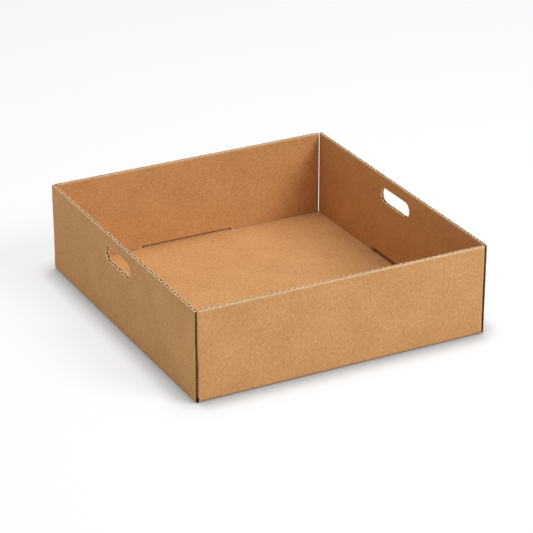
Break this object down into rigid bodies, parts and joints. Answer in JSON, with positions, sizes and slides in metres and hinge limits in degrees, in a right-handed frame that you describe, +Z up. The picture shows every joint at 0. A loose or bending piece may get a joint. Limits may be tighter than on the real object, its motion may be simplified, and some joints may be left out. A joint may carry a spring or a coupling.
{
  "type": "cardboard tray box",
  "caption": "Open corrugated cardboard tray with hand holes in its side walls and foot slits along its base.",
  "frame": {"origin": "middle of the underside, on the floor plane", "axes": "+Z up, out of the open top; X across the front and back walls; Y along the side walls, front wall at -Y"},
  "size_m": [0.4, 0.424, 0.12],
  "materials": {
    "kraft_board": "matte"
  },
  "bodies": {
    "root": {"tray": "kraft_board"}
  },
  "joints": []
}
